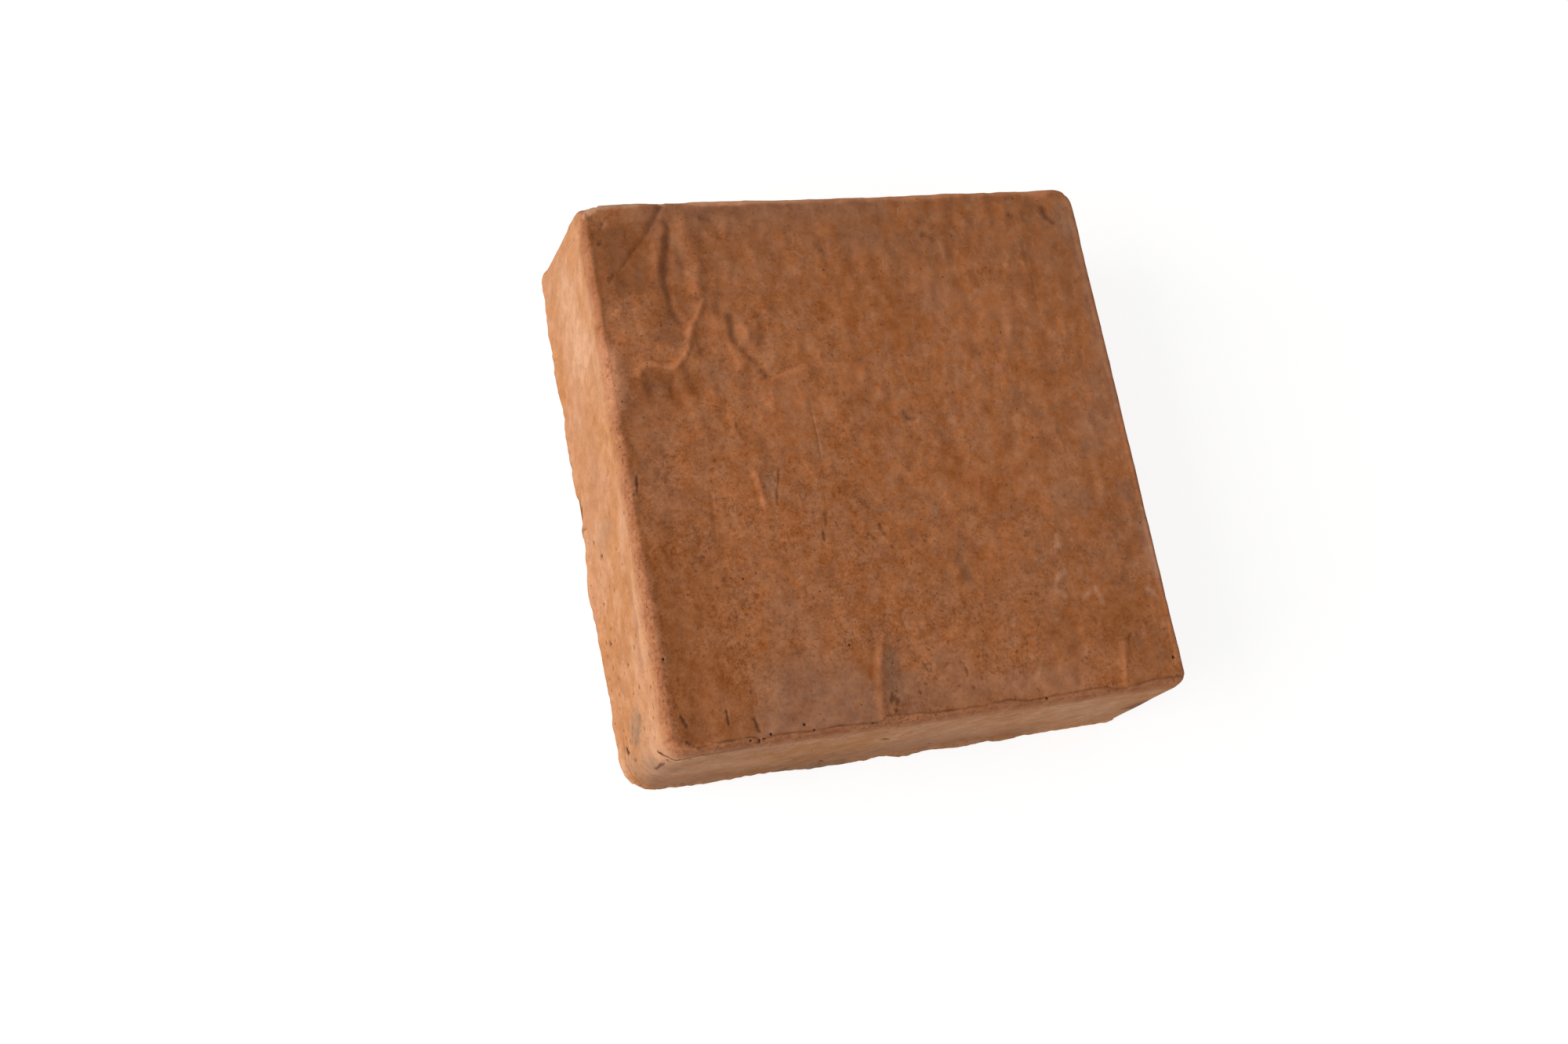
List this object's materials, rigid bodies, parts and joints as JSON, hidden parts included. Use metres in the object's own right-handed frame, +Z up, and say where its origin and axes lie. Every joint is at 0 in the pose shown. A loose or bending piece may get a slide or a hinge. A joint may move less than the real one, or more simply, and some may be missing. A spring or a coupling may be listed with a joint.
{
  "type": "concrete paving block",
  "caption": "Square cast concrete paving block with a riven top face, rolled arrises, drafted sides and a flat back.",
  "frame": {"origin": "centre of the flat back, on the surface the block lies on", "axes": "+Z up, out of the riven face; +X to the right and +Y away from the viewer in the picture, +Y along the slightly longer side"},
  "size_m": [0.199, 0.201, 0.0613],
  "materials": {
    "concrete": "terracotta-coloured cast concrete, mottled orange-brown and pinkish grey on the riven face, paler and pitted with small air holes on the sides, matt"
  },
  "bodies": {
    "root": {"paving_block": "concrete"}
  },
  "joints": []
}
